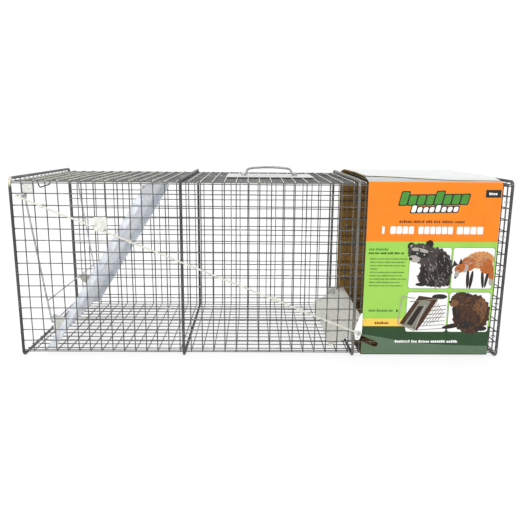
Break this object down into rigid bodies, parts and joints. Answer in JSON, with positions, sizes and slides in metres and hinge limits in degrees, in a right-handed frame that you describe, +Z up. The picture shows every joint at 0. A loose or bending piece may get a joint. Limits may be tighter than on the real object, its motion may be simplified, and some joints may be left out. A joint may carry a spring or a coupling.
{
  "type": "live catch trap",
  "caption": "Wire mesh live catch cage trap with a sloping drop door, lock frame, trip plate with trigger rod, folding carry handle and a card sleeve.",
  "frame": {"origin": "on the ground in the middle of the trap's outer box", "axes": "+X along the cage from the door end to the closed rear end, +Z up, -Y the side with the trigger rod"},
  "size_m": [1.0762, 0.4156, 0.4164],
  "materials": {
    "mesh_coating": "dark charcoal coating over zinc, semi-gloss with a fine orange-peel texture",
    "hoop_coating": "dark charcoal coating on round bar, semi-gloss, slightly hammered",
    "door_sheet": "galvanised sheet, satin, cool grey with pressed creases",
    "trip_sheet": "galvanised sheet, satin, warm grey",
    "bracket_sheet": "galvanised sheet, satin",
    "zinc_wire": "zinc plated wire, satin",
    "rod_finish": "pale cream coating, semi-gloss",
    "crank_finish": "white coating, semi-gloss",
    "handle_finish": "bright zinc plate, satin to bright",
    "rivet_zinc": "zinc plated",
    "black_wire": "black coating, semi-gloss",
    "sleeve_card": "printed card outside, brown kraft inside"
  },
  "bodies": {
    "cage": {"near_side_mesh": "mesh_coating", "far_side_mesh": "mesh_coating", "roof_mesh": "mesh_coating", "floor_mesh": "mesh_coating", "rear_mesh": "mesh_coating", "mesh_clips": "zinc_wire", "front_hoop": "hoop_coating", "middle_hoop": "hoop_coating", "trip_hoop": "hoop_coating", "rear_hoop": "hoop_coating", "hinge_rod": "zinc_wire", "hinge_rod_caps": "rivet_zinc", "lock_bracket_near": "bracket_sheet", "lock_bracket_far": "bracket_sheet", "axle_bearings": "bracket_sheet", "rod_guide": "bracket_sheet", "rod_clips": "rod_finish", "handle_plate": "handle_finish", "handle_saddles": "handle_finish", "saddle_rivets": "rivet_zinc", "roof_hook": "black_wire", "card_sleeve": "sleeve_card"},
    "door": {"door_panel": "door_sheet", "lock_catches": "bracket_sheet", "set_catch": "bracket_sheet", "door_rivets": "rivet_zinc"},
    "lock_frame": {"lock_frame": "zinc_wire", "lock_cross_wire": "zinc_wire", "lock_pin_caps": "rivet_zinc"},
    "trip_plate": {"trip_plate": "trip_sheet", "trip_axle": "zinc_wire", "axle_straps": "black_wire", "axle_cap": "rivet_zinc", "trigger_crank": "crank_finish", "crank_pin": "rivet_zinc"},
    "trigger_rod": {"trigger_rod": "rod_finish"},
    "carry_handle": {"carry_handle": "handle_finish"}
  },
  "joints": [
    {"name": "door_hinge", "type": "hinge", "parent": "cage", "child": "door", "pos_m": [-0.2561, 0, 0.3808], "axis": [0, 1, 0], "range_deg": [0, 52]},
    {"name": "lock_frame_swing", "type": "hinge", "parent": "cage", "child": "lock_frame", "pos_m": [-0.5101, 0, 0.3616], "axis": [0, 1, 0], "range_deg": [0, 96.5]},
    {"name": "trip_plate_pivot", "type": "hinge", "parent": "cage", "child": "trip_plate", "pos_m": [0.2159, 0, 0.04792], "axis": [0, 1, 0], "range_deg": [0, 24]},
    {"name": "trigger_rod_slide", "type": "slide", "parent": "cage", "child": "trigger_rod", "axis": [0.9255, 0, -0.3787], "range_m": [0, 0.00462]},
    {"name": "handle_swing", "type": "hinge", "parent": "cage", "child": "carry_handle", "pos_m": [0.0193, 0, 0.3989], "axis": [1, 0, 0], "range_deg": [0, 146]}
  ],
  "couplings": [
    {"joint": "lock_frame_swing", "follows": "door_hinge", "ratio": 1.85},
    {"joint": "trigger_rod_slide", "follows": "trip_plate_pivot", "m_per_rad": 0.011}
  ]
}
